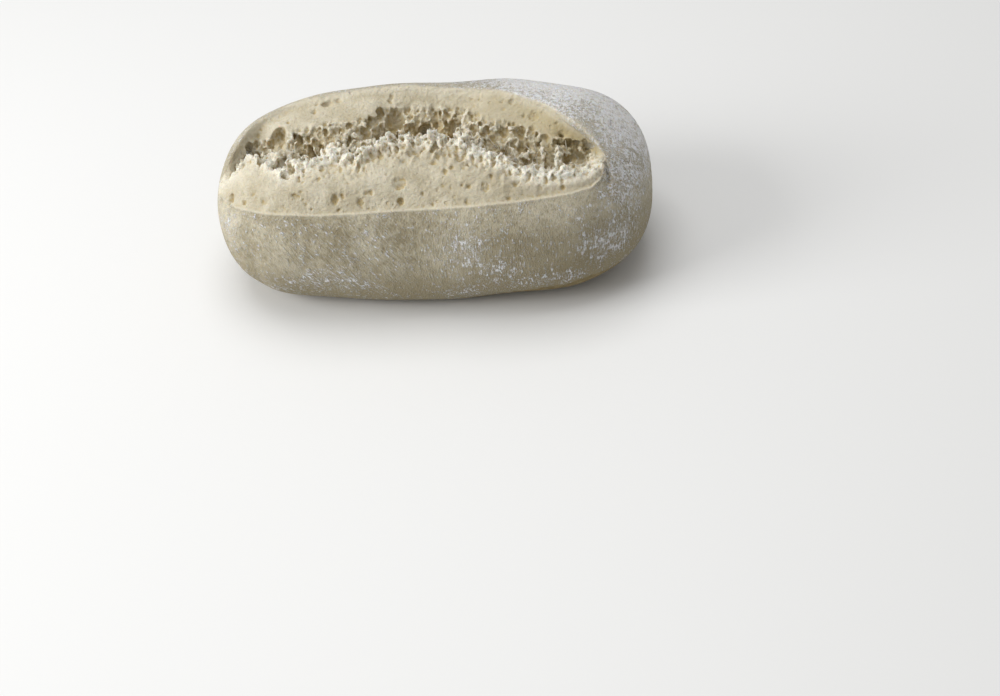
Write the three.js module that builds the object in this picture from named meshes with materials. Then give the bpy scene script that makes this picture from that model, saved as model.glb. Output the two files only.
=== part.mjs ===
// A par-baked white bread roll, in millimetres: a long rounded loaf on a flat base, torn open along its top.
//
// +X runs along the loaf, -Y is the side that the tear leans towards, +Z is up, and the origin is the middle
// of the base. Every cross-section is a superellipse, cut off flat at the base. A place on the closed loaf
// has a station, from -1 at one tip to 1 at the other, and an angle round the section: 0 at the back, 90 at
// the top, 180 at the front and 270 underneath. The tear is a path of angles and depths below that loaf.
import * as THREE from "three";

// Driving dimensions of the loaf.
const LENGTH = 135;
const WIDTH = 73;
const HEIGHT = 50;
const WIDEST_LEVEL = 0.43 * HEIGHT; // where the section is widest, and where the tips are
const BELOW_LEVEL = 1.2 * WIDEST_LEVEL; // how far the uncut section would reach below that level
const TOP_ROUNDNESS = 2.35; // superellipse exponents: 2 is an ellipse, more is boxier
const BOTTOM_ROUNDNESS = 2.6;
const END_BLUNTNESS = 4.2;
const END_ROUNDNESS = 2.35;
const TAPER = 0.03; // share by which the right end is wider than the middle

// The waves that make the crust uneven: [height, turns along, turns round, start], the last three in radians
// for one unit of station or of angle.
const LUMPS = [
  [0.5, 5, 2, 0],
  [0.35, 9, -3, 1],
  [0.25, 14, 1, 2],
];

// Driving dimensions of the tear. The depths are below the closed loaf.
const FULL_OPENING = 70; // degrees between the two crust edges where the tear is widest
const FIRST_OPENING = 0.12; // share of that at which the torn faces begin to sink in
const LAST_OPENING = 0.6; // share of that at which they lie at their full depth
const EDGE_STEP = 0.7; // the torn face's start behind the front crust edge
const SWELL_DEPTH = 0.1; // the front torn face where it bulges most
const RIDGE_DEPTH = 2.6; // the crest of the front torn face
const RIDGE_DROP = 0.25; // share of the way down to the crevice's floor of the steep fall behind that crest
const SHELF_DEPTH = 5.5; // the upper end of the torn back wall, under the smooth band
const SHELF_SHARE = 0.6; // that depth's most, as a share of the crevice's
const BAND_DEPTH = 1.5; // the smooth band where it meets the lip
const LIP_RISE = 0.7; // how far the back crust edge stands above the closed loaf
const LIP_UNDERCUT = 2.2; // degrees by which the crumb is hollowed out behind that edge
const LIP_FADE = 0.3; // share of the back crust over which the raised lip sinks back

// The tear's outlines: [station, angle] of each crust edge, [station, share of the opening] of what lies
// between them, counted from the front edge, and [station, depth] of the crevice's floor.
const FRONT_EDGE = [
  [-0.97, 122], [-0.94, 130], [-0.88, 138], [-0.84, 142], [-0.7, 146], [-0.44, 148], [0.08, 147],
  [0.42, 145], [0.63, 142], [0.72, 139], [0.76, 134], [0.79, 122],
];
const BACK_EDGE = [
  [-0.97, 120], [-0.94, 110], [-0.88, 94], [-0.84, 82], [-0.78, 72], [-0.65, 64], [-0.3, 64], [0, 66],
  [0.15, 69], [0.33, 76], [0.42, 82], [0.51, 87], [0.6, 93], [0.68, 100], [0.74, 107], [0.79, 118],
];
const RIDGE = [
  [-0.9, 0.6], [-0.8, 0.62], [-0.7, 0.45], [-0.62, 0.32], [-0.54, 0.36], [-0.42, 0.44], [-0.28, 0.42],
  [-0.18, 0.54], [0, 0.56], [0.13, 0.56], [0.2, 0.46], [0.3, 0.41], [0.42, 0.28], [0.55, 0.24],
  [0.66, 0.28], [0.76, 0.35],
];
const SHELF = [
  [-0.9, 0.88], [-0.8, 0.92], [-0.7, 0.76], [-0.58, 0.77], [-0.45, 0.81], [-0.34, 0.78], [-0.25, 0.84],
  [-0.19, 0.94], [0, 0.96], [0.16, 0.94], [0.24, 0.82], [0.33, 0.82], [0.42, 0.87], [0.5, 0.85],
  [0.545, 0.74], [0.6, 0.92], [0.7, 0.94], [0.77, 0.92],
];
const CREVICE = [
  [-0.95, 2.6], [-0.91, 4.5], [-0.86, 8], [-0.78, 10], [-0.66, 7], [-0.53, 14], [-0.38, 10], [-0.3, 11.5],
  [-0.18, 16.5], [0.03, 17], [0.12, 13], [0.22, 9], [0.36, 8], [0.5, 8.5], [0.64, 10], [0.72, 8], [0.78, 4],
];

// Mesh resolution.
const STATIONS = 62;
const END_ANGLE = 84; // the first and last stations lie at the sine of this many degrees
const CRUST_FRONT_ROWS = 15;
const LIP_ROWS = 5;
const CRUST_BACK_ROWS = 11;
const BASE_ROWS = 5; // on each side of the base's middle line

const radians = THREE.MathUtils.degToRad;
const { clamp, lerp, smoothstep } = THREE.MathUtils;
const signedPower = (value, power) => Math.sign(value) * Math.abs(value) ** power;

// The value at a station of an outline given as [station, value] points, eased from point to point.
function along(outline, station) {
  const after = outline.findIndex(([at]) => at > station);
  if (after === 0) return outline[0][1];
  if (after < 0) return outline.at(-1)[1];
  const [[from, low], [to, high]] = [outline[after - 1], outline[after]];
  const share = (station - from) / (to - from);
  const eased = lerp(share, smoothstep(share, 0, 1), 0.6);
  return lerp(low, high, eased);
}

// How full the section is at a station: 1 in the middle of the loaf and 0 at its tips.
const fullnessAt = (station) => (1 - Math.abs(station) ** END_BLUNTNESS) ** (1 / END_ROUNDNESS);

// How far the dough has bulged at a place on the closed loaf.
function bulge(station, angle) {
  const height = ([size, alongRate, roundRate, start]) =>
    size * Math.sin(alongRate * station + roundRate * radians(angle) + start);
  return fullnessAt(station) * LUMPS.reduce((sum, wave) => sum + height(wave), 0);
}

// A point of the closed loaf, moved inwards by a depth.
function loafPoint(station, angle, depth) {
  const fullness = fullnessAt(station);
  const [across, up] = [Math.cos(radians(angle)), Math.sin(radians(angle))];
  const halfWidth = (WIDTH / 2) * fullness * (1 + TAPER * station);
  const reach = (up > 0 ? HEIGHT - WIDEST_LEVEL : BELOW_LEVEL) * fullness;
  const power = 2 / (up > 0 ? TOP_ROUNDNESS : BOTTOM_ROUNDNESS);
  const y = halfWidth * signedPower(across, power);
  const z = reach * signedPower(up, power);
  const inwards = 1 - (depth - bulge(station, angle)) / Math.hypot(y, z);
  return new THREE.Vector3((station * LENGTH) / 2, y * inwards, Math.max(0, WIDEST_LEVEL + z * inwards));
}

// The angle at which the section meets the flat base, on the front side.
function baseEdgeAngle(station) {
  const share = clamp(WIDEST_LEVEL / (BELOW_LEVEL * fullnessAt(station)), 0, 0.97);
  return 180 + THREE.MathUtils.radToDeg(Math.asin(share ** (BOTTOM_ROUNDNESS / 2)));
}

// The tear's path across a section, from the front crust edge to the back: [angle, depth, rows to there].
function tearPath(station) {
  const front = along(FRONT_EDGE, station);
  const back = along(BACK_EDGE, station);
  const open = smoothstep((front - back) / FULL_OPENING, FIRST_OPENING, LAST_OPENING);
  const ridge = along(RIDGE, station);
  const shelf = along(SHELF, station);
  const crevice = along(CREVICE, station);
  const shelfDepth = Math.min(SHELF_DEPTH, SHELF_SHARE * crevice);
  const at = (share) => lerp(front, back, share);
  const between = (share) => at(lerp(ridge, shelf, share));
  return [
    [front, 0, 0],
    [at(0.03), EDGE_STEP * open, 1],
    [at(ridge * 0.5), SWELL_DEPTH * open, 4],
    [at(ridge), RIDGE_DEPTH * open, 4],
    [between(0.12), lerp(RIDGE_DEPTH, crevice, RIDGE_DROP) * open, 1],
    [between(0.28), crevice * open, 3],
    [between(0.55), crevice * open, 1],
    [between(0.85), lerp(crevice, shelfDepth, 0.6) * open, 2],
    [at(shelf), shelfDepth * open, 1],
    [at(0.97) - LIP_UNDERCUT * open, BAND_DEPTH * open, 3],
    [back, (0.5 - LIP_RISE) * open, 1],
    [at(1.02), -LIP_RISE * open, 1],
  ];
}

// One closed section, starting at the middle of the base and going round by the front.
function section(station) {
  const path = tearPath(station);
  const baseEdge = baseEdgeAngle(station);
  const backBaseEdge = 180 - baseEdge;
  const lipEnd = lerp(path.at(-1)[0], backBaseEdge, LIP_FADE);
  const corners = [
    [270, 0, 0],
    [baseEdge, 0, BASE_ROWS],
    [path[0][0], 0, CRUST_FRONT_ROWS],
    ...path.slice(1),
    [lipEnd, 0, LIP_ROWS],
    [backBaseEdge, 0, CRUST_BACK_ROWS],
    [-90, 0, BASE_ROWS],
  ];
  return corners.slice(1).flatMap(([angle, depth, rows], i) => {
    const [fromAngle, fromDepth] = corners[i];
    return Array.from({ length: rows }, (_, row) => {
      const share = (row + 1) / rows;
      return loafPoint(station, lerp(fromAngle, angle, share), lerp(fromDepth, depth, share));
    });
  });
}

// Joins the sections into one closed surface, with a tip at each end.
function loftedGeometry(sections, firstTip, lastTip) {
  const rows = sections[0].length;
  const points = [...sections.flat(), firstTip, lastTip];
  const first = points.length - 2;
  const last = points.length - 1;
  const lastSection = (sections.length - 1) * rows;
  const triangles = [];
  for (let row = 0; row < rows; row++) {
    const next = (row + 1) % rows;
    triangles.push(first, row, next);
    triangles.push(last, lastSection + next, lastSection + row);
    for (let start = 0; start < lastSection; start += rows) {
      const [a, b, c, d] = [start + row, start + next, start + rows + next, start + rows + row];
      triangles.push(a, c, b);
      triangles.push(a, d, c);
    }
  }
  const geometry = new THREE.BufferGeometry().setFromPoints(points);
  geometry.setIndex(triangles);
  return geometry;
}

// Moves a geometry so that the middle of its footprint is at the origin.
function centred(geometry) {
  geometry.computeBoundingBox();
  const middle = geometry.boundingBox.getCenter(new THREE.Vector3());
  geometry.translate(-middle.x, -middle.y, 0);
  geometry.computeVertexNormals();
  return geometry;
}

const tip = (station) => new THREE.Vector3((station * LENGTH) / 2, 0, WIDEST_LEVEL);
const stations = Array.from({ length: STATIONS }, (_, i) =>
  Math.sin(radians(lerp(-END_ANGLE, END_ANGLE, i / (STATIONS - 1)))),
);

const breadRoll = new THREE.Mesh(
  centred(loftedGeometry(stations.map(section), tip(-1), tip(1))),
  new THREE.MeshStandardMaterial({ color: 0xd8cba8, roughness: 0.85, metalness: 0 }),
);
breadRoll.name = "bread_roll";

const part = new THREE.Group();
part.add(breadRoll);

export default part;
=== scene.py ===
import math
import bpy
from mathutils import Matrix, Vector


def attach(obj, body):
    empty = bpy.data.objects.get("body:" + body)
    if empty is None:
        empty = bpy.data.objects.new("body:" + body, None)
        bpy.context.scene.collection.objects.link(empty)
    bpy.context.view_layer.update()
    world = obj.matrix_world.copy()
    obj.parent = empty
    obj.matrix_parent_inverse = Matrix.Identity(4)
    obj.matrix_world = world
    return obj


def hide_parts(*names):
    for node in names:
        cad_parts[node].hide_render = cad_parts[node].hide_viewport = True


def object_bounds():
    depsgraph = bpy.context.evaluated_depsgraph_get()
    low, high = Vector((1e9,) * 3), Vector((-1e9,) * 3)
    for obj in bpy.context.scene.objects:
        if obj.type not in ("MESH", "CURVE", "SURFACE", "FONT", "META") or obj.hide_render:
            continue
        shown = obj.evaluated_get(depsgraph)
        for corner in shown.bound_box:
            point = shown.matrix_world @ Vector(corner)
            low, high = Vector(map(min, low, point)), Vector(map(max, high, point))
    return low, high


bl_info = {
    "name": "Bread roll",
    "version": (1, 0, 0),
    "blender": (4, 5, 0),
    "location": "3D Viewport > Sidebar > Bakery",
    "description": "Bakes a long white roll that is torn open along its top, and sets it on a pale floor",
    "category": "Object",
}

from collections import namedtuple

import bpy
import numpy as np
from bpy.props import FloatProperty, FloatVectorProperty, IntProperty, PointerProperty
from mathutils import Color, Euler, Matrix, Quaternion, Vector
from mathutils.bvhtree import BVHTree

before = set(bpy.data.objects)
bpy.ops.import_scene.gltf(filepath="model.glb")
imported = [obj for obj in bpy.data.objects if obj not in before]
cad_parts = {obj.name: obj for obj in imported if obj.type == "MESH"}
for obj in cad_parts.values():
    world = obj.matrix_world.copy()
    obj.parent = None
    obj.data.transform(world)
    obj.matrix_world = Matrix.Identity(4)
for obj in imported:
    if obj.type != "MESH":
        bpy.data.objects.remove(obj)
CAD_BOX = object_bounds()
MM = 0.001

# The closed loaf, as the CAD part makes it, in millimetres. A place on it has a station, from -1 at the left
# tip to 1 at the right one, and an angle round the section: 0 at the back, 90 at the top, 180 at the front.
HALF_LENGTH = 67.5
HALF_WIDTH = 36.5
WIDEST_LEVEL = 21.5
REACH_ABOVE = 28.5
REACH_BELOW = 25.8
TOP_ROUNDNESS = 2.35
BOTTOM_ROUNDNESS = 2.6
END_BLUNTNESS = 4.2
END_ROUNDNESS = 2.35
TAPER = 0.03

# The tear's outlines by station: the angle of each crust edge, then the shares of the opening, from the front
# edge to the back one, at which the front face's crest and the upper end of the torn wall lie.
FRONT_EDGE = [
    (-0.97, 122), (-0.94, 130), (-0.88, 138), (-0.84, 142), (-0.7, 146), (-0.44, 148), (0.08, 147),
    (0.42, 145), (0.63, 142), (0.72, 139), (0.76, 134), (0.79, 122),
]
BACK_EDGE = [
    (-0.97, 120), (-0.94, 110), (-0.88, 94), (-0.84, 82), (-0.78, 72), (-0.65, 64), (-0.3, 64), (0, 66),
    (0.15, 69), (0.33, 76), (0.42, 82), (0.51, 87), (0.6, 93), (0.68, 100), (0.74, 107), (0.79, 118),
]
RIDGE = [
    (-0.9, 0.6), (-0.8, 0.62), (-0.7, 0.45), (-0.62, 0.32), (-0.54, 0.36), (-0.42, 0.44), (-0.28, 0.42),
    (-0.18, 0.54), (0, 0.56), (0.13, 0.56), (0.2, 0.46), (0.3, 0.41), (0.42, 0.28), (0.55, 0.24),
    (0.66, 0.28), (0.76, 0.35),
]
SHELF = [
    (-0.9, 0.88), (-0.8, 0.92), (-0.7, 0.76), (-0.58, 0.77), (-0.45, 0.81), (-0.34, 0.78), (-0.25, 0.84),
    (-0.19, 0.94), (0, 0.96), (0.16, 0.94), (0.24, 0.82), (0.33, 0.82), (0.42, 0.87), (0.5, 0.85),
    (0.545, 0.74), (0.6, 0.92), (0.7, 0.94), (0.77, 0.92),
]
# The stations between which the tear is open.
TEAR_ENDS = (-0.93, 0.78)
# The flap at the right end of the lip: its middle and width in stations, and how far it hangs forward.
FLAP_STATION = 0.71
FLAP_WIDTH = 0.08
FLAP_REACH = 1.8

# The stage. The view's angles are in degrees, and lengths are in metres.
VIEW_AZIMUTH = 8
VIEW_ELEVATION = 36
VIEW_TILT = 8
VIEW_DISTANCE = 0.435
VIEW_LENS = 50
AIM_IN_VIEW = (-0.0475, 0.1195, -1)  # where the roll's middle lies in the view, which is a little off centre
DAYLIGHT = 0.39
# Soft lights: name, place, power in watts and size.
LIGHTS = [("key", (-0.8, -0.25, 0.45), 6.8, 0.5), ("top", (-0.05, 0.15, 0.8), 3.2, 0.6)]


def along(outline, station):
    """The value of an outline at each station."""
    at, value = zip(*outline)
    return np.interp(station, at, value)


def ramp(value, low, high):
    """0 below low, 1 above high, and eased between them."""
    t = np.clip((value - low) / (high - low), 0, 1)
    return t * t * (3 - 2 * t)


def hump(value, centre, width):
    """1 at the centre, falling off to both sides."""
    return np.exp(-(((value - centre) / width) ** 2))


def points_of(piece):
    """The piece's vertices in millimetres, one row each."""
    co = np.empty(len(piece.data.vertices) * 3)
    piece.data.vertices.foreach_get("co", co)
    return co.reshape(-1, 3) / MM


def fullness_at(station):
    """How full the section is: 1 in the middle of the loaf and 0 at its tips."""
    return np.maximum(1 - np.abs(station) ** END_BLUNTNESS, 1e-6) ** (1 / END_ROUNDNESS)


class Places:
    """Where a piece's vertices lie on the closed loaf and across the tear."""

    def __init__(self, piece):
        x, y, z = points_of(piece).T
        self.height = z
        self.station = np.clip(x / HALF_LENGTH, -1, 1)
        full = fullness_at(self.station)
        above = z > WIDEST_LEVEL
        half = HALF_WIDTH * full * (1 + TAPER * self.station)
        reach = np.where(above, REACH_ABOVE, REACH_BELOW) * full
        power = 2 / np.where(above, TOP_ROUNDNESS, BOTTOM_ROUNDNESS)
        across, up = y / half, (z - WIDEST_LEVEL) / reach
        cosine = np.sign(across) * np.abs(across) ** (1 / power)
        sine = np.sign(up) * np.abs(up) ** (1 / power)
        self.angle = np.degrees(np.arctan2(sine, cosine)) % 360
        scale = np.hypot(cosine, sine) ** power
        self.depth = np.hypot(y, z - WIDEST_LEVEL) * (1 / np.maximum(scale, 1e-3) - 1)
        self.front = along(FRONT_EDGE, self.station)
        self.back = along(BACK_EDGE, self.station)
        self.opening = np.maximum(self.front - self.back, 0.5)
        self.share = (self.front - self.angle) / self.opening
        self.ridge = along(RIDGE, self.station)
        self.shelf = along(SHELF, self.station)
        # Distances across the surface from each line of the tear, in millimetres, towards the back.
        per_degree = math.radians(1) * np.hypot(y, z - WIDEST_LEVEL)
        self.past_front = (self.front - self.angle) * per_degree
        self.past_back = (self.back - self.angle) * per_degree
        self.past_ridge = (self.share - self.ridge) * self.opening * per_degree
        self.past_shelf = (self.share - self.shelf) * self.opening * per_degree
        # The flap's skin hangs forward over the tear; behind it the crumb starts at the back edge itself.
        hangs = FLAP_REACH * hump(self.station, FLAP_STATION, FLAP_WIDTH) * (1 - ramp(self.depth, 1.0, 1.6))
        ends = ramp(self.station, -0.975, -0.95) * (1 - ramp(self.station, 0.775, 0.79))
        self.inside = ends * ramp(self.past_front, -0.3, 0.3) * (1 - ramp(self.past_back + hangs, 0.2, 0.8))
        self.middle = ramp(self.station, -0.92, -0.88) * (1 - ramp(self.station, 0.75, 0.78))

    def crevice(self, before=0.0):
        """1 between the crest and the band under the lip, widened by so many millimetres at the crest."""
        past_crest = ramp(self.past_ridge, -before - 1, -before + 1)
        high = ramp(self.share, self.shelf - 0.2, self.shelf - 0.1) * (1 - ramp(self.depth, 3.5, 5.5))
        band = np.maximum(ramp(self.past_shelf, -1, 1) * (1 - ramp(self.depth, 4.5, 6)), high)
        return self.inside * self.middle * past_crest * (1 - band)


def deselect():
    """Leaves edit mode and clears the selection."""
    if bpy.context.object and bpy.context.object.mode != "OBJECT":
        bpy.ops.object.mode_set(mode="OBJECT")
    bpy.ops.object.select_all(action="DESELECT")


def choose(*pieces):
    """Selects these objects alone, and makes the first active."""
    deselect()
    for piece in pieces:
        piece.select_set(True)
    bpy.context.view_layer.objects.active = pieces[0]


def apply(piece, kind, **settings):
    """Adds a modifier with these settings and applies it."""
    choose(piece)
    modifier = piece.modifiers.new(kind.title(), kind)
    for name, value in settings.items():
        setattr(modifier, name, value)
    bpy.ops.object.modifier_apply(modifier=modifier.name)


def weigh(piece, name, weights):
    """Makes a vertex group with one weight for each vertex."""
    group = piece.vertex_groups.get(name) or piece.vertex_groups.new(name=name)
    steps = np.round(np.clip(weights, 0, 1) * 40).astype(int)
    for step in np.unique(steps[steps > 0]):
        group.add(np.nonzero(steps == step)[0].tolist(), step / 40, "REPLACE")
    return name


def grain(name, kind, size, **settings):
    """A procedural texture whose features are about this many millimetres across."""
    texture = bpy.data.textures.new(name, kind)
    texture.noise_scale = size
    for key, value in settings.items():
        setattr(texture, key, value)
    return texture


def relief(piece, group, texture, strength, middle=0.5, stretch=(1, 1, 1), direction="NORMAL"):
    """Pushes the weighed vertices in and out by a texture that is stretched along the axes."""
    bpy.ops.object.empty_add()
    guide = bpy.context.object
    guide.scale = [MM * s for s in stretch]
    bpy.context.view_layer.update()
    apply(
        piece, "DISPLACE", texture=texture, texture_coords="OBJECT", texture_coords_object=guide,
        vertex_group=group, strength=strength * MM, mid_level=middle, direction=direction,
    )
    bpy.data.objects.remove(guide)
    bpy.data.textures.remove(texture)


def press(piece, weights, depth):
    """Presses the surface in by this many millimetres where the weights are 1."""
    apply(piece, "DISPLACE", vertex_group=weigh(piece, "pressed", weights), strength=-depth * MM, mid_level=0)
    piece.vertex_groups.clear()


def copied_node(name, new_name):
    """A copy of a CAD node, merged into quads."""
    choose(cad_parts[name])
    bpy.ops.object.duplicate()
    piece = bpy.context.object
    piece.name = piece.data.name = new_name
    piece.parent = None
    for key in list(piece.keys()):
        del piece[key]
    piece.data.materials.clear()
    bpy.ops.object.mode_set(mode="EDIT")
    bpy.ops.mesh.select_all(action="SELECT")
    bpy.ops.mesh.remove_doubles(threshold=0.01 * MM)
    bpy.ops.mesh.tris_convert_to_quads(face_threshold=math.radians(70), shape_threshold=math.radians(70))
    bpy.ops.object.mode_set(mode="OBJECT")
    return piece


# A place on the roll, the way it faces, the way out of the loaf, and the depth below the closed loaf.
Spot = namedtuple("Spot", "place facing outwards depth")


class TornSurface:
    """Finds spots on the roll by station and angle."""

    def __init__(self, roll):
        self.tree = BVHTree.FromObject(roll, bpy.context.evaluated_depsgraph_get())

    def at_angle(self, station, angle):
        """The spot at an angle round the section."""
        power = 2 / TOP_ROUNDNESS
        across, up = math.cos(math.radians(angle)), math.sin(math.radians(angle))
        reach = Vector((
            0,
            HALF_WIDTH * (1 + TAPER * station) * math.copysign(abs(across) ** power, across),
            REACH_ABOVE * math.copysign(abs(up) ** power, up),
        )) * fullness_at(station)
        outwards = reach.normalized()
        axis = Vector((station * HALF_LENGTH, 0, WIDEST_LEVEL)) * MM
        place, facing, _, _ = self.tree.ray_cast(axis + outwards * 60 * MM, -outwards)
        return Spot(place, facing, outwards, reach.length - (place - axis).length / MM)

    def at(self, station, share):
        """The spot at a share across the opening. A station past the tear's ends counts as the nearer end."""
        station = min(max(station, TEAR_ENDS[0]), TEAR_ENDS[1])
        front, back = along(FRONT_EDGE, station), along(BACK_EDGE, station)
        return self.at_angle(station, front - share * (front - back))


def turned(facing, tilt):
    """A turn whose Z faces the way the surface does and whose Y runs up across the tear, tilted a little."""
    side = (Vector((1, 0, 0)) - facing * facing.x).normalized()
    frame_of_surface = Matrix((side, facing.cross(side), facing)).transposed()
    return frame_of_surface.to_quaternion() @ Euler(tilt).to_quaternion()


def joined_copies(primitive, places):
    """One object of many copies of a primitive, each at (place, turn, scale in millimetres)."""
    copies = []
    for place, turn, scale in places:
        copy = primitive.copy()
        copy.data = primitive.data.copy()
        copy.matrix_world = Matrix.LocRotScale(place, turn, Vector(scale) * MM)
        bpy.context.collection.objects.link(copy)
        copies.append(copy)
    bpy.data.objects.remove(primitive)
    choose(*copies)
    bpy.ops.object.join()
    bpy.ops.object.transform_apply(location=True, rotation=True, scale=True)
    return bpy.context.object


def carve(roll, cells, voxel):
    """Cuts gas cells out of the roll."""
    deselect()
    bpy.ops.mesh.primitive_ico_sphere_add(subdivisions=2, radius=1)
    cutter = joined_copies(bpy.context.object, cells)
    apply(cutter, "REMESH", mode="VOXEL", voxel_size=voxel * MM)
    apply(roll, "BOOLEAN", operation="DIFFERENCE", solver="MANIFOLD", object=cutter)
    bpy.data.objects.remove(cutter)


def grow(roll, strands, sides=7, tip=0.3):
    """Adds crumb strands to the roll, each a slender cone that starts inside it."""
    deselect()
    bpy.ops.mesh.primitive_cone_add(vertices=sides, radius1=1, radius2=tip, depth=2)
    fibres = joined_copies(bpy.context.object, strands)
    choose(roll, fibres)
    bpy.ops.object.join()


# Gas cells, listed one by one: station, share across the opening, radius, and how much longer than wide.
LARGE_CELLS = [
    (-0.87, 0.08, 1.6, 1.2), (-0.8, 0.07, 1.1, 0.8), (-0.47, 0.975, 2.2, 0.6), (-0.42, 0.985, 0.9, 1.0),
    (-0.52, 0.24, 0.7, 1.0), (-0.47, 0.24, 0.6, 1.2), (-0.4, 0.27, 0.55, 1.2), (-0.32, 0.22, 0.6, 1.4),
    (-0.27, 0.42, 0.8, 1.9), (-0.18, 0.42, 1.2, 1.2), (-0.1, 0.53, 0.6, 2.4), (-0.06, 0.53, 0.6, 2.6),
    (0.05, 0.35, 1.2, 1.2), (0.1, 0.27, 0.9, 1.7), (0.3, 0.22, 0.8, 1.6), (0.2, 0.15, 0.9, 0.9),
    (0.37, 0.03, 0.9, 0.7), (0.6, 0.08, 1.0, 0.9), (-0.02, 0.3, 0.45, 1.3), (0.14, 0.05, 0.5, 1.0),
    (-0.36, 0.03, 1.0, 0.6), (0.1, 0.985, 0.6, 1.0), (0.2, 0.985, 0.8, 0.8), (0.04, 0.99, 0.5, 1.0),
    (0.34, 0.97, 0.6, 1.0),
]
# Wide shallow dimples, where a cell has burst: the same.
DIMPLES = [
    (-0.6, 0.3, 1.7, 1.6), (0.48, 0.95, 2.0, 1.0), (0.27, 0.14, 1.6, 1.2), (-0.39, 0.34, 3.4, 0.7),
    (-0.55, 0.12, 1.8, 1.0), (-0.1, 0.2, 2.4, 1.0), (0.5, 0.1, 1.6, 0.8), (-0.07, 0.38, 2.0, 1.3),
    (0.2, 0.03, 1.5, 1.0), (0.42, 0.6, 2.6, 1.0), (0.56, 0.55, 2.4, 1.0), (-0.54, 0.68, 3.0, 1.0),
    (0.34, 0.55, 2.0, 1.4),
]
# Deep hollows in the torn walls: the same.
HOLLOWS = [
    (-0.22, 0.9, 1.6, 1.0), (-0.15, 0.9, 3.4, 1.0), (-0.2, 0.8, 3.2, 0.8), (-0.07, 0.84, 2.8, 1.0),
    (0.01, 0.8, 2.8, 1.0), (-0.02, 0.92, 2.4, 1.0), (0.1, 0.88, 3.0, 1.1), (0.08, 0.76, 1.8, 1.0),
    (-0.86, 0.74, 1.0, 1.0), (-0.82, 0.74, 1.1, 1.2), (-0.79, 0.78, 1.0, 1.0), (-0.74, 0.8, 0.9, 1.2),
    (-0.71, 0.82, 0.8, 1.0), (-0.76, 0.86, 0.7, 1.0), (-0.72, 0.74, 0.8, 1.4), (-0.77, 0.66, 1.0, 1.4),
    (-0.55, 0.6, 1.7, 1.0), (-0.5, 0.66, 1.5, 1.2), (-0.58, 0.66, 1.2, 1.2), (-0.46, 0.58, 1.1, 1.2),
    (-0.41, 0.72, 0.8, 2.4), (-0.38, 0.58, 0.8, 1.8), (-0.31, 0.6, 1.0, 1.1), (-0.65, 0.38, 0.9, 1.8),
    (0.21, 0.66, 1.0, 1.8), (0.09, 0.62, 1.0, 1.2), (0.46, 0.36, 1.1, 1.2), (0.53, 0.34, 1.0, 1.4),
    (0.64, 0.45, 0.7, 2.4),
]
# Hollows that run back under the flap: the same.
UNDERCUTS = [
    (0.58, 0.79, 1.0, 0.9), (0.6, 0.81, 1.3, 0.8), (0.63, 0.84, 1.6, 0.8), (0.66, 0.87, 1.7, 0.8),
    (0.69, 0.89, 1.7, 0.8), (0.71, 0.9, 1.5, 0.8), (0.73, 0.91, 1.2, 0.8),
]
# Each listed kind of cell: its list, how deep it is for its width, and how far it is sunk in.
PLACED_CELLS = [(LARGE_CELLS, 0.75, 0.0), (DIMPLES, 0.3, 0.0), (HOLLOWS, 1.5, 0.5), (UNDERCUTS, 1.6, 0.7)]
# The slit beside the right end of the tear, and the notch beside the flap's tip: station, angle and length.
SLITS = [(0.795, 131, 4.2), (0.825, 92, 2.0)]
SLIT_WIDTH = 0.5
# The depth below the closed loaf past which a torn face counts as the crevice's wall, in millimetres.
WALL_DEPTH = 4
# How far the ragged crest spreads from the middle, in stations.
CREST_SPREAD = 0.35
# How deep a tuft and a fibre are rooted in the crumb, and the longest fibre, in millimetres.
TUFT_ROOT = 0.8
FIBRE_ROOT = 0.25
LONGEST_FIBRE = 5
# Curtains of crumb that still cross the tear: station, width in stations, and how many strands.
CURTAINS = [
    (-0.7, 0.03, 18), (-0.64, 0.025, 16), (-0.43, 0.012, 8), (-0.37, 0.03, 18), (-0.31, 0.015, 8),
    (0.19, 0.04, 16), (0.36, 0.012, 4), (0.5, 0.012, 4), (0.6, 0.012, 4),
]
# Where thin webs cross the tear without a curtain: the same.
THIN_WEBS = [(-0.52, 0.06, 8), (0.42, 0.15, 60), (-0.8, 0.05, 8)]
# Shallow dents down the front crust, where the dough was handled: station, width and depth.
DENTS = [(-0.8, 0.035, 0.7), (-0.27, 0.05, 0.35), (0.2, 0.08, 0.3), (0.55, 0.06, 0.25)]


def bake_loaf(shape):
    """The loaf with its smooth crust, lip and dents, before the crumb is torn."""
    roll = copied_node("bread_roll", "roll")
    apply(roll, "SUBSURF", levels=2, render_levels=2)
    apply(roll, "REMESH", mode="VOXEL", voxel_size=shape.rough_voxel * MM)
    place = Places(roll)
    lower = ramp(place.angle, 152, 165) * (1 - ramp(place.angle, 205, 225))
    for station, width, depth in DENTS:
        press(roll, hump(place.station, station, width) * lower, depth)
    # The crease that runs down the crust from the right end of the tear.
    path = 0.793 + 0.006 * np.sin(place.angle * 0.35)
    below_tear = ramp(place.angle, 118, 126) * (1 - ramp(place.angle, 140, 150))
    press(roll, hump(place.station, path, 0.009) * below_tear, 0.7)
    # The crust skin at the right end of the lip overhangs the tear as a flap.
    edge = hump(place.past_back, -0.2, 2.0) * (place.depth < 1.5)
    flap = weigh(roll, "flap", hump(place.station, FLAP_STATION, FLAP_WIDTH) * edge)
    apply(roll, "DISPLACE", vertex_group=flap, strength=-FLAP_REACH * MM, mid_level=0, direction="Y")
    apply(roll, "DISPLACE", vertex_group=flap, strength=0.6 * MM, mid_level=0, direction="Z")
    roll.vertex_groups.clear()
    # The torn face closes to a smooth band at the left end.
    press(roll, place.inside * (1 - ramp(place.station, -0.93, -0.88)) * ramp(place.depth, 0.5, 1.5), -1.2)
    return roll


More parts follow.
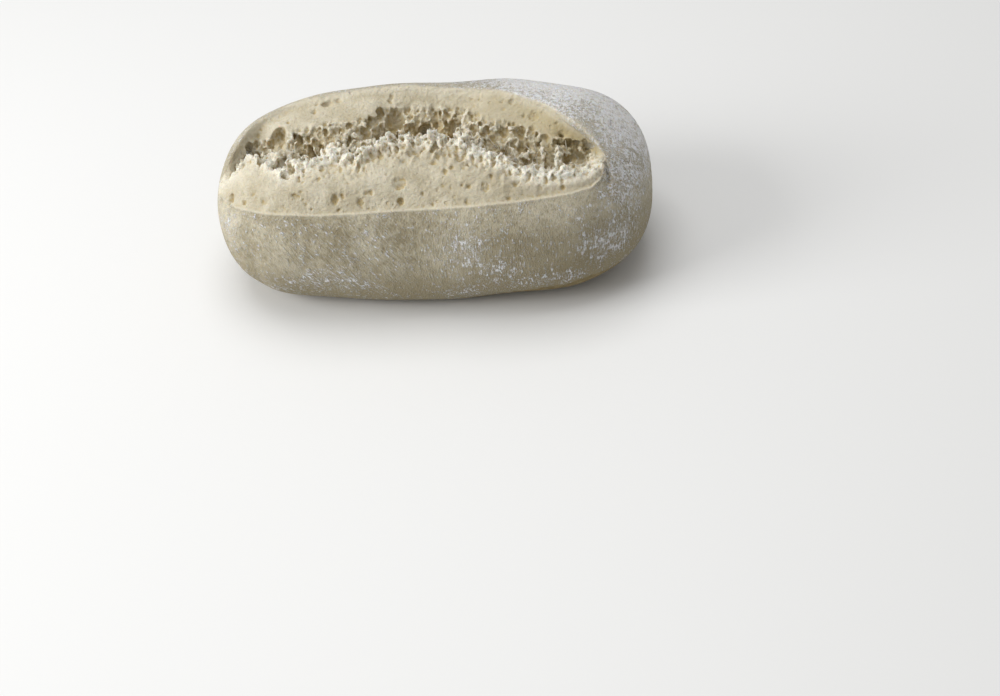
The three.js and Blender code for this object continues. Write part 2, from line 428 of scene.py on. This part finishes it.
def raise_crags(roll):
    """Makes the torn walls and the crest coarse and uneven."""
    place = Places(roll)
    crags = weigh(roll, "crags", place.crevice(before=-1))
    relief(roll, crags, grain("crags", "CLOUDS", 6, noise_depth=2), 4, 0.5, stretch=(1, 1, 1.5))
    crest = weigh(roll, "crest", place.inside * place.middle * hump(place.past_ridge, 0.3, 2.0))
    teeth = grain("teeth", "VORONOI", 2.4, distance_metric="DISTANCE")
    relief(roll, crest, teeth, 4.5, 0.25, stretch=(1, 2, 4), direction="Z")
    roll.vertex_groups.clear()


def stretch_curtains(roll, shape, rng):
    """Strands of crumb that still cross the tear, and the tufts that stand up along its crest."""
    surface = TornSurface(roll)
    strands = []
    for middle, width, count in CURTAINS:
        for _ in range(count):
            station = rng.normal(middle, width)
            low = surface.at(station, along(RIDGE, station) + rng.uniform(0.0, 0.08)).place
            upper = station + rng.normal(0, 0.015)
            high = surface.at(upper, along(SHELF, station) - rng.uniform(0.0, 0.1)).place
            span = high - low
            wide = 0.35 + rng.gamma(1.5, 0.4)
            where = (low + high) / 2 - Vector((0, 0, rng.uniform(0.2, 3))) * MM
            strands.append((where, span.to_track_quat("Z", "Y"), (wide, 0.4, span.length / 2 / MM + 1.5)))
    for _ in range(shape.tufts):
        station = rng.uniform(-0.88, 0.74)
        spot = surface.at(station, along(RIDGE, station) + rng.normal(0, 0.03))
        length = rng.uniform(0.5, 1.5) + hump(station, 0, CREST_SPREAD) * rng.uniform(0.2, 1.6)
        lean = (spot.outwards * 0.3 + Vector(rng.normal(0, 0.16, 3)) + Vector((0, 0.05, 0.9))).normalized()
        wide = rng.uniform(0.4, 0.8)
        root = spot.place + lean * (length / 2 - TUFT_ROOT) * MM
        strands.append((root, lean.to_track_quat("Z", "Y"), (wide, 0.45, length / 2 + TUFT_ROOT)))
    grow(roll, strands)


def open_cells(roll, shape, rng):
    """Cuts the gas cells: the listed large ones, and the small ones at random."""
    surface = TornSurface(roll)
    cells = []

    def add_cell(spot, radius, stretch, thickness, sink):
        turn = turned(spot.facing, rng.normal(0, 0.2, 3))
        middle = spot.place - spot.facing * sink * radius * MM
        cells.append((middle, turn, (radius, radius * stretch, radius * thickness)))

    for kind, thickness, sink in PLACED_CELLS:
        for station, share, radius, stretch in kind:
            add_cell(surface.at(station, share), radius, stretch, thickness, sink)
    for _ in range(shape.torn_cells):
        station = rng.uniform(-0.88, 0.76)
        ridge, shelf = along(RIDGE, station), along(SHELF, station)
        share = rng.uniform(ridge + 0.03, shelf)
        spot = surface.at(station, share)
        if spot.depth > WALL_DEPTH or share < (ridge + shelf) / 2:
            add_cell(spot, 0.35 + rng.gamma(1.3, 0.3), rng.uniform(1, 2.2), 1.4, rng.uniform(0.1, 0.8))
    for _ in range(shape.crest_cells):
        station = rng.normal(0.02, 0.28)
        spot = surface.at(station, along(RIDGE, station) * rng.uniform(0.72, 1.02))
        add_cell(spot, rng.uniform(0.3, 0.65), rng.uniform(1.5, 4), 1.6, rng.uniform(0, 0.5))
    for _ in range(shape.smooth_cells):
        station = rng.uniform(-0.93, 0.77)
        ridge, shelf = along(RIDGE, station), along(SHELF, station)
        spot = surface.at(station, rng.choice([rng.uniform(0.02, ridge), rng.uniform(shelf - 0.05, 0.99)]))
        if spot.depth < WALL_DEPTH:
            add_cell(spot, 0.26 + rng.gamma(1.2, 0.18), rng.uniform(0.9, 1.6), 0.9, rng.uniform(-0.3, 0.1))
    for station, angle, length in SLITS:
        add_cell(surface.at_angle(station, angle), SLIT_WIDTH, length / SLIT_WIDTH, 2.6, 0.2)
    carve(roll, cells, shape.cell_voxel)


def tear_crumb(roll, shape, rng):
    """Tears the crumb between the crust edges."""
    raise_crags(roll)
    stretch_curtains(roll, shape, rng)
    apply(roll, "REMESH", mode="VOXEL", voxel_size=shape.rough_voxel * MM)
    place = Places(roll)
    calm = 1 - 0.45 * ramp(place.station, 0.15, 0.3)
    torn = weigh(roll, "torn", place.crevice(before=-1) * calm)
    pits = {"distance_metric": "DISTANCE_SQUARED"}
    relief(roll, torn, grain("large cells", "VORONOI", 4.0, **pits), 3.0, 0.25, stretch=(1, 1.2, 1.7))
    relief(roll, torn, grain("small cells", "VORONOI", 1.9, **pits), 1.8, 0.25, stretch=(1, 1.3, 2))
    near_crest = place.inside * ramp(place.past_ridge, -12, -3) * (1 - ramp(place.past_ridge, 0, 1))
    combed = weigh(roll, "combed", near_crest * hump(place.station, 0.02, 0.38))
    relief(roll, combed, grain("combed crumb", "VORONOI", 1.5, **pits), 3.2, 0.2, stretch=(1, 2, 3.5))
    roll.vertex_groups.clear()
    open_cells(roll, shape, rng)
    apply(roll, "REMESH", mode="VOXEL", voxel_size=shape.fine_voxel * MM)


def roughen(roll):
    """The fine grain of the crumb, and the thin crust edge along the front of the tear."""
    place = Places(roll)
    crevice = place.crevice(before=1)
    torn = weigh(roll, "torn", crevice)
    webs = grain("webs", "VORONOI", 1.0, distance_metric="DISTANCE_SQUARED")
    relief(roll, torn, webs, 0.9, 0.35, stretch=(1, 1, 1.6))
    velvet = weigh(roll, "velvet", place.inside * (1 - crevice))
    relief(roll, velvet, grain("velvet", "CLOUDS", 0.9, noise_depth=2), 0.5)
    relief(roll, velvet, grain("swells", "CLOUDS", 5), 0.6)
    roll.vertex_groups.clear()
    beside_tear = ramp(place.station, -0.97, -0.93) * (1 - ramp(place.station, 0.76, 0.8))
    press(roll, hump(place.past_front, -0.1, 0.45) * beside_tear, -0.3)


def fray(roll, shape, rng):
    """Torn tufts and fibres along the crest, on the walls and across the pockets."""
    surface = TornSurface(roll)
    fibres = []

    def add_fibre(where, lean, wide, length):
        """A fibre that stands a length out of the surface, in millimetres."""
        lean = lean.normalized()
        middle = where + lean * (length / 2 - FIBRE_ROOT) * MM
        fibres.append((middle, lean.to_track_quat("Z", "Y"), (wide, wide * 0.7, length / 2 + FIBRE_ROOT)))

    for _ in range(shape.fringe_fibres):
        station = rng.uniform(-0.88, 0.75)
        spot = surface.at(station, along(RIDGE, station) + rng.normal(0, 0.03))
        length = rng.uniform(0.2, 0.6) + 0.5 * hump(station, 0, CREST_SPREAD) * rng.uniform(0, 1)
        lean = spot.facing * 0.3 + spot.outwards * 0.3 + Vector(rng.normal(0, 0.3, 3)) + Vector((0, 0.1, 0.6))
        add_fibre(spot.place, lean, min(rng.uniform(0.12, 0.28), length * 0.4), length)
    for _ in range(shape.wall_fibres):
        station = rng.uniform(-0.88, 0.75)
        ridge, shelf = along(RIDGE, station), along(SHELF, station)
        spot = surface.at(station, rng.uniform(ridge, shelf))
        lean = spot.facing * rng.uniform(0.2, 0.9) + Vector(rng.normal(0, 0.5, 3))
        lean += Vector((0, 0, rng.choice([-0.5, 0.6])))
        if spot.depth > 3:
            add_fibre(spot.place, lean, rng.uniform(0.1, 0.25), rng.uniform(0.2, 0.8))
    for middle, width, count in CURTAINS + THIN_WEBS:
        for _ in range(count):
            station = rng.normal(middle, width * 1.3)
            ridge, shelf = along(RIDGE, station), along(SHELF, station)
            share = rng.uniform(ridge + 0.05, shelf - 0.15)
            low = surface.at(station, share).place
            span = surface.at(station + rng.normal(0, 0.02), share + rng.uniform(0.06, 0.15)).place - low
            if span.length < LONGEST_FIBRE * MM:
                add_fibre(low, span, rng.uniform(0.12, 0.25), span.length / MM)
    grow(roll, fibres, sides=5, tip=0.2)


def thin_crust(roll, shape):
    """Merges faces until the roll has the wished number of triangles, the crust's first and furthest."""
    apply(roll, "TRIANGULATE")
    place = Places(roll)
    crust = 1 - ramp(place.inside, 0, 0.1)
    weigh(roll, "crust", crust)
    corners = np.empty(len(roll.data.polygons) * 3, dtype=int)
    roll.data.polygons.foreach_get("vertices", corners)
    all_faces = len(roll.data.polygons)
    crust_faces = np.count_nonzero(crust[corners].reshape(-1, 3).min(axis=1) > 0)
    share = (all_faces - crust_faces + shape.crust_triangles) / all_faces
    apply(roll, "DECIMATE", ratio=share, vertex_group="crust", vertex_group_factor=0)
    roll.vertex_groups.clear()
    share = shape.triangles / len(roll.data.polygons)
    if share < 1:
        apply(roll, "DECIMATE", ratio=share)


def build_roll(shape):
    """The finished mesh, from the CAD solid to the last fibre."""
    rng = np.random.default_rng(shape.seed)
    roll = bake_loaf(shape)
    tear_crumb(roll, shape, rng)
    roughen(roll)
    thin_crust(roll, shape)
    fray(roll, shape, rng)
    choose(roll)
    bpy.ops.object.shade_smooth()
    return roll


def cavity(roll, rounds, full):
    """How far each vertex lies below its surroundings, from -1 on a ridge to 1 in a pit."""
    points = points_of(roll)
    mesh = roll.data
    edges = np.empty(len(mesh.edges) * 2, dtype=int)
    mesh.edges.foreach_get("vertices", edges)
    ends = edges.reshape(-1, 2).T
    normals = np.empty(len(points) * 3)
    mesh.vertices.foreach_get("normal", normals)
    count = np.maximum(np.bincount(edges, minlength=len(points)), 1)
    smooth = points.copy()
    for _ in range(rounds):
        for axis in range(3):
            values = smooth[:, axis]
            total = sum(np.bincount(here, values[there], len(points)) for here, there in (ends, ends[::-1]))
            smooth[:, axis] = 0.5 * values + 0.5 * total / count
    below = ((smooth - points) * normals.reshape(-1, 3)).sum(axis=1)
    return np.clip(below / full, -1, 1)


# Patches of flour on the crust: station, angle, their widths in both, and how thick the flour lies.
FLOUR = [
    (0.17, 170, 0.14, 16, 0.65), (0.3, 184, 0.12, 10, 0.55), (0.5, 194, 0.2, 9, 0.6),
    (0.14, 203, 0.14, 8, 0.6), (-0.45, 190, 0.24, 12, 0.6), (-0.75, 202, 0.16, 10, 0.55),
    (-0.88, 165, 0.07, 20, 0.4), (0.8, 178, 0.14, 16, 0.8), (0.88, 132, 0.12, 30, 1.1),
    (0.62, 60, 0.4, 38, 2.3), (0.86, 80, 0.18, 44, 1.8), (0.2, 40, 0.4, 26, 1.1),
    (-0.4, 35, 0.3, 30, 0.6), (-0.85, 50, 0.16, 50, 0.45), (0.0, 355, 0.5, 14, 0.5),
    (0.9, 10, 0.1, 60, 0.5),
]


def map_surface(roll):
    """Writes what the material reads: where each vertex is crumb, how deep it is, where flour lies, and where
    shade and highlights are painted.
    """
    place = Places(roll)
    flour = np.full(len(place.station), 0.12)
    for station, angle, width, spread, amount in FLOUR:
        apart = (place.angle - angle + 180) % 360 - 180
        flour = np.maximum(flour, amount * hump(place.station, station, width) * hump(apart, 0, spread))
    front_side = ramp(place.angle, 150, 190) * (1 - ramp(place.angle, 250, 280))
    sole = 2.5 + 7 * ramp(place.station, 0.0, 0.7) * front_side
    front_crust = ramp(place.angle, 150, 172) * (1 - ramp(place.angle, 240, 270))
    # Painted shade: the crust on the right of the front is darkened.
    right_front_shade = 0.65 * ramp(place.station, -0.1, 0.35) * front_crust
    towards_tips = 0.5 * ramp(abs(place.station), 0.6, 0.85)
    # Painted shade: the hollow under the flap is darkened.
    under_flap = hump(place.station, 0.66, 0.11) * hump(place.share, 0.88, 0.1) * ramp(place.depth, 1.6, 2.6)
    layers = {
        "crumb": place.inside,
        # The crust is lighter along the front edge of the tear; along the back lip the light line is a
        # painted highlight.
        "rim": place.middle * np.maximum(hump(place.past_front, -0.1, 0.5), hump(place.past_back, 0.2, 0.5)),
        "torn": place.crevice(before=1.5),
        # The torn crest: its own lighter crumb, made whiter still as a painted highlight.
        "crest": place.inside * hump(place.past_ridge, 0.4, 4) * (1 - towards_tips),
        # Painted shade: deep and pit darken the crumb where it lies deep, under the flap and in its cavities.
        "deep": place.inside * np.maximum(ramp(place.depth, 5, 15), under_flap),
        "pit": place.inside * np.maximum(cavity(roll, 12, 0.35), cavity(roll, 50, 1.1)),
        # Painted shade: the crumb just under the lip, stronger towards the right.
        "shade_under_lip": place.inside * hump(place.past_back, 0, 4) * ramp(place.station, 0.0, 0.6),
        # Painted shade: the crumb darkens towards the right end.
        "painted_shade_right": place.inside * ramp(place.station, 0.05, 0.6),
        "flour": flour,
        # Painted shade: the crust is darker towards the bottom and on the right of the front.
        "painted_shade_low_right": np.maximum(0.95 * (1 - ramp(place.height - sole, 6, 26)), right_front_shade),
        "above_sole": place.height - sole,
    }
    for name, values in layers.items():
        layer = roll.data.attributes.new(name, "FLOAT", "POINT")
        layer.data.foreach_set("value", values.astype(np.float32))


class Finish:
    """A material and its nodes, added one call at a time. Lengths are in millimetres."""

    def __init__(self, name):
        self.material = bpy.data.materials.new(name)
        self.material.use_nodes = True
        self.nodes = self.material.node_tree.nodes
        self.shader = self.nodes["Principled BSDF"]
        metres = self.add("TexCoord").outputs["Object"]
        self.place = self.add("VectorMath", {0: metres, 1: [1 / MM] * 3}, operation="MULTIPLY").outputs[0]

    def add(self, kind, inputs=None, **settings):
        """A new node with these settings; each input is a value or another node's output."""
        node = self.nodes.new("ShaderNode" + kind)
        for name, value in settings.items():
            setattr(node, name, value)
        for socket, value in (inputs or {}).items():
            self.feed(node.inputs[socket], value)
        return node

    def feed(self, socket, value):
        if isinstance(value, bpy.types.NodeSocket):
            self.material.node_tree.links.new(value, socket)
        else:
            socket.default_value = value

    def layer(self, name):
        """One of the attributes that map_surface wrote."""
        return self.add("Attribute", attribute_name=name).outputs["Fac"]

    def stretched(self, stretch, turn=(0, 0, 0)):
        """The place, with patterns made this many times longer along each axis, and turned in degrees."""
        turned_place = self.place
        if any(turn):
            angles = [math.radians(t) for t in turn]
            turned_place = self.add("Mapping", {"Vector": self.place, "Rotation": angles}).outputs[0]
        return self.add("VectorMath", {0: turned_place, 1: stretch}, operation="DIVIDE").outputs[0]

    def noise(self, size, detail=2.0, roughness=0.5, place=None):
        """Soft noise whose features are about this many millimetres across."""
        inputs = {"Vector": place or self.place, "Scale": 1 / size, "Detail": detail, "Roughness": roughness}
        return self.add("TexNoise", inputs).outputs["Fac"]

    def pores(self, size, widest, place=None):
        """1 in the middle of round pores of many widths, and 0 between them."""
        cells = self.add("TexVoronoi", {"Vector": place or self.place, "Scale": 1 / size})
        chance = self.add("SeparateColor", {0: cells.outputs["Color"]}).outputs[0]
        width = self.math("MULTIPLY", chance, widest)
        outside = self.ease(cells.outputs["Distance"], self.math("MULTIPLY", width, 0.45), width)
        return self.math("SUBTRACT", 1, outside)

    def math(self, operation, first, second=0.0):
        return self.add("Math", {0: first, 1: second}, operation=operation).outputs[0]

    def total(self, *terms):
        """The sum of (amount, value) terms."""
        result = 0.0
        for amount, value in terms:
            inputs = {0: value, 1: amount, 2: result}
            result = self.add("Math", inputs, operation="MULTIPLY_ADD").outputs[0]
        return result

    def ease(self, value, low, high):
        """0 at low, 1 at high, and eased between them."""
        inputs = {"Value": value, "From Min": low, "From Max": high}
        return self.add("MapRange", inputs, interpolation_type="SMOOTHSTEP").outputs["Result"]

    def mix(self, share, first, second):
        """The first colour with a share of the second."""
        first, second = ((*colour, 1) if isinstance(colour, Color) else colour for colour in (first, second))
        return self.add("Mix", {0: share, 6: first, 7: second}, data_type="RGBA").outputs[2]

    def blend(self, share, first, second):
        """The first number with a share of the second."""
        return self.add("Mix", {0: share, 2: first, 3: second}, data_type="FLOAT").outputs[0]


def bread_material(looks):
    """Crust, flour and crumb in one material, told apart by the roll's attributes."""
    bread = Finish("bread")
    crumb, torn, deep = bread.layer("crumb"), bread.layer("torn"), bread.layer("deep")

    # The crust: pale tan, mottled, with fine wrinkles that run down the sides.
    clouds = bread.noise(14, 3)
    mottle = bread.noise(2.2, 3)
    grit = bread.noise(0.55, 2, 0.6)
    wrinkles = bread.noise(0.45, 2, 0.65, place=bread.stretched((1, 1, 5)))
    slanted = bread.noise(0.5, 2, 0.65, place=bread.stretched((1, 1, 5), turn=(0, 38, 0)))
    left = bread.ease(bread.add("SeparateXYZ", {0: bread.place}).outputs[0], 2, -10)
    streaks = bread.blend(left, wrinkles, slanted)
    tone = bread.total((0.7, clouds), (0.5, mottle), (0.6, streaks), (1, -0.9))
    crust = bread.mix(bread.ease(tone, -0.3, 0.3), looks.crust_shade, looks.crust_colour)
    # Painted shade: the crust darkens towards the bottom and on the right of the front.
    crust = bread.mix(bread.layer("painted_shade_low_right"), crust, looks.crust_shade)

    # Flour lies in patches, and keeps to the ridges of the wrinkles and to single grains.
    coarse = bread.noise(1.5, 3, 0.65)
    cover = bread.total(
        (0.8, bread.layer("flour")), (1.2, bread.noise(6, 3)), (3.6, streaks), (2.2, coarse), (1.4, grit),
        (1, -4.2),
    )
    dusting = bread.ease(cover, 0.42, 1.0)
    specks = bread.ease(bread.total((1.0, bread.noise(0.5, 1)), (0.25, bread.layer("flour"))), 0.66, 0.74)
    flour = bread.math("MAXIMUM", dusting, bread.math("MULTIPLY", specks, 0.4))
    height = bread.total((1.0, bread.layer("above_sole")), (5.0, bread.noise(9, 4)), (1, -2.5))
    sole = bread.ease(height, 0.35, -0.35)
    flour = bread.math("MULTIPLY", flour, bread.math("SUBTRACT", 1, sole))
    sole_colour = bread.mix(bread.ease(mottle, 0.3, 0.7), looks.sole_shade, looks.sole_colour)
    crust = bread.mix(sole, crust, sole_colour)
    thickness = bread.blend(bread.ease(bread.total((0.6, coarse), (0.4, grit)), 0.4, 0.6), 0.5, 0.85)
    crust = bread.mix(bread.math("MULTIPLY", flour, thickness), crust, looks.flour_colour)

    # The crumb: creamy, with small pores, with painted shade in its pores and where it lies deep, and whitest
    # along the torn crest, partly as a painted highlight.
    open_crumb = bread.ease(bread.noise(8, 2), 0.45, 0.62)
    pores = bread.math("MULTIPLY", bread.pores(2.4, 0.36), open_crumb)
    small_pores = bread.pores(0.9, 0.4)
    fuzz = bread.noise(0.7, 4, 0.65)
    velvet = bread.noise(0.28, 2, 0.6)
    fibres = bread.noise(0.5, 3, 0.6, place=bread.stretched((1, 1, 4)))
    tone = bread.ease(bread.total((0.6, bread.noise(6, 3)), (0.3, fuzz), (0.3, velvet)), 0.45, 0.75)
    cream = bread.mix(tone, looks.crumb_shade, looks.crumb_colour)
    # Painted shade: the crumb darkens towards the right end.
    cream = bread.mix(bread.math("MULTIPLY", bread.layer("painted_shade_right"), 0.95), cream, looks.crumb_shade)
    # The crest: whiter torn crumb, lightened further as a painted highlight.
    white = bread.math("MULTIPLY", bread.layer("crest"), bread.ease(fibres, 0.25, 0.52))
    cream = bread.mix(white, cream, looks.crest_and_highlight_colour)
    # Painted shade inside the pores.
    shadows = [bread.math("MULTIPLY", holes, share) for holes, share in ((pores, 0.4), (small_pores, 0.15))]
    cream = bread.mix(bread.math("MAXIMUM", *shadows), cream, looks.pit_shade_colour)
    # Painted shade in the cavities and the deep hollows.
    pit = bread.layer("pit")
    cream = bread.mix(bread.math("MULTIPLY", bread.ease(pit, 0.1, 0.9), 0.75), cream, looks.pit_shade_colour)
    cream = bread.mix(bread.math("MULTIPLY", deep, 0.75), cream, looks.pit_shade_colour)
    # Painted highlight on the ridges of the torn walls.
    edges = bread.math("MULTIPLY", bread.ease(pit, -0.1, -0.7), torn)
    cream = bread.mix(bread.math("MULTIPLY", edges, 0.6), cream, looks.crest_and_highlight_colour)
    # Painted shade under the overhanging lip.
    cream = bread.mix(bread.math("MULTIPLY", bread.layer("shade_under_lip"), 0.6), cream, looks.lip_shade_colour)

    colour = bread.mix(crumb, crust, cream)
    # Lighter along the front edge of the tear, and a painted highlight along the back lip.
    colour = bread.mix(bread.math("MULTIPLY", bread.layer("rim"), 0.7), colour, looks.rim_and_highlight_colour)
    bread.feed(bread.shader.inputs["Base Color"], colour)
    bread.feed(bread.shader.inputs["Roughness"], bread.total((0.12, grit), (1, 0.82)))
    bread.shader.inputs["Specular IOR Level"].default_value = 0.2
    bread.shader.inputs["Subsurface Weight"].default_value = 0.3
    bread.shader.inputs["Subsurface Radius"].default_value = (1.0, 0.7, 0.4)
    bread.shader.inputs["Subsurface Scale"].default_value = 0.0012

    skin = bread.total((0.2, grit), (0.42, streaks), (0.5, mottle), (0.3, coarse), (0.25, flour))
    body = bread.total((0.4, fuzz), (0.22, velvet), (-0.35, pores), (-0.12, small_pores), (0.3, mottle))
    body = bread.total((1, body), (0.4, bread.math("MULTIPLY", fibres, torn)))
    relief_height = bread.blend(crumb, skin, body)
    bump = bread.add("Bump", {"Height": relief_height, "Strength": 1.0, "Distance": 0.001})
    bread.feed(bread.shader.inputs["Normal"], bump.outputs[0])
    return bread.material


def dress_roll(roll, looks):
    """Gives the roll its attributes and its one material."""
    map_surface(roll)
    roll.data.materials.clear()
    roll.data.materials.append(bread_material(looks))


class BAKERY_PG_shape(bpy.types.PropertyGroup):
    rough_voxel: FloatProperty(
        name="First detail", description="Mesh size of the loaf as it is torn, in millimetres", default=0.42
    )
    fine_voxel: FloatProperty(
        name="Finest detail", description="Mesh size of the finished crumb, in millimetres", default=0.3
    )
    cell_voxel: FloatProperty(
        name="Cell detail", description="Mesh size of the gas cells, in millimetres", default=0.25
    )
    torn_cells: IntProperty(name="Torn cells", description="Gas cells in the torn walls", default=800)
    crest_cells: IntProperty(name="Crest cells", description="Slim gas cells along the crest", default=240)
    smooth_cells: IntProperty(
        name="Smooth cells", description="Gas cells in the smooth torn faces", default=260
    )
    fringe_fibres: IntProperty(name="Fringe fibres", description="Torn fibres along the crest", default=600)
    tufts: IntProperty(name="Tufts", description="Torn tufts that stand up along the crest", default=420)
    wall_fibres: IntProperty(
        name="Wall fibres", description="Torn fibres on the crevice's walls", default=700
    )
    crust_triangles: IntProperty(
        name="Crust triangles", description="Triangles of the smooth crust", default=14000
    )
    triangles: IntProperty(
        name="Triangles", description="Triangles of the roll without its fibres", default=150000
    )
    seed: IntProperty(name="Seed", description="Changes where the gas cells lie", default=4)


class BAKERY_PG_looks(bpy.types.PropertyGroup):
    crust_colour: FloatVectorProperty(
        name="Crust", description="Colour of the pale baked crust",
        subtype="COLOR", size=3, default=(0.63, 0.58, 0.45),
    )
    # Also laid on the crust as painted shade towards the bottom and on the right of the front.
    crust_shade: FloatVectorProperty(
        name="Crust shade", description="Colour of the crust's darker patches",
        subtype="COLOR", size=3, default=(0.285, 0.243, 0.155),
    )
    flour_colour: FloatVectorProperty(
        name="Flour", description="Colour of the flour on the crust",
        subtype="COLOR", size=3, default=(0.8, 0.81, 0.84),
    )
    sole_colour: FloatVectorProperty(
        name="Sole", description="Colour of the crust at the base, where no flour lies",
        subtype="COLOR", size=3, default=(0.3, 0.24, 0.13),
    )
    sole_shade: FloatVectorProperty(
        name="Sole shade", description="Colour of the base's darker patches",
        subtype="COLOR", size=3, default=(0.2, 0.15, 0.07),
    )
    # Also the painted highlight along the back lip's edge.
    rim_and_highlight_colour: FloatVectorProperty(
        name="Rim", description="Colour of the thin crust edge in front of the tear",
        subtype="COLOR", size=3, default=(0.7, 0.65, 0.52),
    )
    crumb_colour: FloatVectorProperty(
        name="Crumb", description="Colour of the white crumb",
        subtype="COLOR", size=3, default=(0.65, 0.6, 0.47),
    )
    # Also laid on the right part of the crumb as painted shade.
    crumb_shade: FloatVectorProperty(
        name="Crumb shade", description="Colour of the crumb's darker patches",
        subtype="COLOR", size=3, default=(0.5, 0.445, 0.32),
    )
    # Lighter torn crumb along the crest, partly a painted highlight; also the painted highlight on the torn
    # ridges.
    crest_and_highlight_colour: FloatVectorProperty(
        name="Crest", description="Colour of the torn fibres along the crest",
        subtype="COLOR", size=3, default=(0.94, 0.9, 0.78),
    )
    # Painted shade: the colour laid into pores, cavities, deep hollows and under the flap.
    pit_shade_colour: FloatVectorProperty(
        name="Pits", description="Colour inside pores and deep hollows",
        subtype="COLOR", size=3, default=(0.5, 0.38, 0.175),
    )
    # Painted shade: the colour laid on the crumb just under the lip.
    lip_shade_colour: FloatVectorProperty(
        name="Under the lip", description="Colour of the crumb just under the lip",
        subtype="COLOR", size=3, default=(0.46, 0.39, 0.23),
    )


class BAKERY_OT_bread_roll(bpy.types.Operator):
    """Bakes the roll from the CAD solid: crust, tear, gas cells and material"""

    bl_idname = "bakery.bread_roll"
    bl_label = "Bread roll"

    def execute(self, context):
        shape, looks = context.scene.bakery_shape, context.scene.bakery_looks
        roll = build_roll(shape)
        dress_roll(roll, looks)
        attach(roll, "root")
        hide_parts("bread_roll")
        return {"FINISHED"}


class BAKERY_OT_stage(bpy.types.Operator):
    """Sets the floor, the soft lights and the camera"""

    bl_idname = "bakery.stage"
    bl_label = "Stage"

    def execute(self, context):
        deselect()
        bpy.ops.mesh.primitive_plane_add(size=6)
        floor = context.object
        floor.name = "floor"
        paper = bpy.data.materials.new("pale floor")
        paper.use_nodes = True
        paper.node_tree.nodes["Principled BSDF"].inputs["Base Color"].default_value = (0.8, 0.8, 0.79, 1)
        floor.data.materials.append(paper)
        for name, place, power, size in LIGHTS:
            bpy.ops.object.light_add(type="AREA", location=place)
            light = context.object
            light.name = name
            light.data.energy = power
            light.data.size = size
            light.rotation_euler = (-Vector(place)).to_track_quat("-Z", "Y").to_euler()
        world = bpy.data.worlds.new("studio")
        world.use_nodes = True
        world.node_tree.nodes["Background"].inputs["Color"].default_value = (1, 1, 1, 1)
        world.node_tree.nodes["Background"].inputs["Strength"].default_value = DAYLIGHT
        context.scene.world = world
        context.scene.view_settings.view_transform = "Standard"
        bpy.ops.object.camera_add()
        camera = context.object
        azimuth, elevation, tilt = map(math.radians, (VIEW_AZIMUTH, VIEW_ELEVATION, VIEW_TILT))
        level = math.cos(elevation)
        back = Vector((math.sin(azimuth) * level, -math.cos(azimuth) * level, math.sin(elevation)))
        centre = (CAD_BOX[0] + CAD_BOX[1]) / 2
        camera.location = centre + back * VIEW_DISTANCE
        off_centre = Vector((0, 0, -1)).rotation_difference(Vector(AIM_IN_VIEW).normalized()).inverted()
        camera.rotation_mode = "QUATERNION"
        level_view = (-back).to_track_quat("-Z", "Y")
        camera.rotation_quaternion = level_view @ Quaternion((0, 0, 1), -tilt) @ off_centre
        camera.data.lens = VIEW_LENS
        camera.data.clip_start = 0.01
        context.scene.camera = camera
        return {"FINISHED"}


class BAKERY_PT_roll(bpy.types.Panel):
    """Lists the steps that make the roll, and their settings"""

    bl_idname = "BAKERY_PT_roll"
    bl_label = "Bread roll"
    bl_space_type = "VIEW_3D"
    bl_region_type = "UI"
    bl_category = "Bakery"

    def draw(self, context):
        for operator in (BAKERY_OT_bread_roll, BAKERY_OT_stage):
            self.layout.operator(operator.bl_idname)
        for settings in (context.scene.bakery_shape, context.scene.bakery_looks):
            box = self.layout.box()
            for name in settings.__annotations__:
                box.prop(settings, name)


CLASSES = (BAKERY_PG_shape, BAKERY_PG_looks, BAKERY_OT_bread_roll, BAKERY_OT_stage, BAKERY_PT_roll)


def register():
    """Registers the classes and the settings."""
    for cls in CLASSES:
        bpy.utils.register_class(cls)
    bpy.types.Scene.bakery_shape = PointerProperty(type=BAKERY_PG_shape)
    bpy.types.Scene.bakery_looks = PointerProperty(type=BAKERY_PG_looks)


def unregister():
    """Takes back what register did."""
    del bpy.types.Scene.bakery_looks
    del bpy.types.Scene.bakery_shape
    for cls in reversed(CLASSES):
        bpy.utils.unregister_class(cls)


def main():
    """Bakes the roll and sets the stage."""
    register()
    bpy.ops.bakery.bread_roll()
    bpy.ops.bakery.stage()


if __name__ == "__main__":
    main()
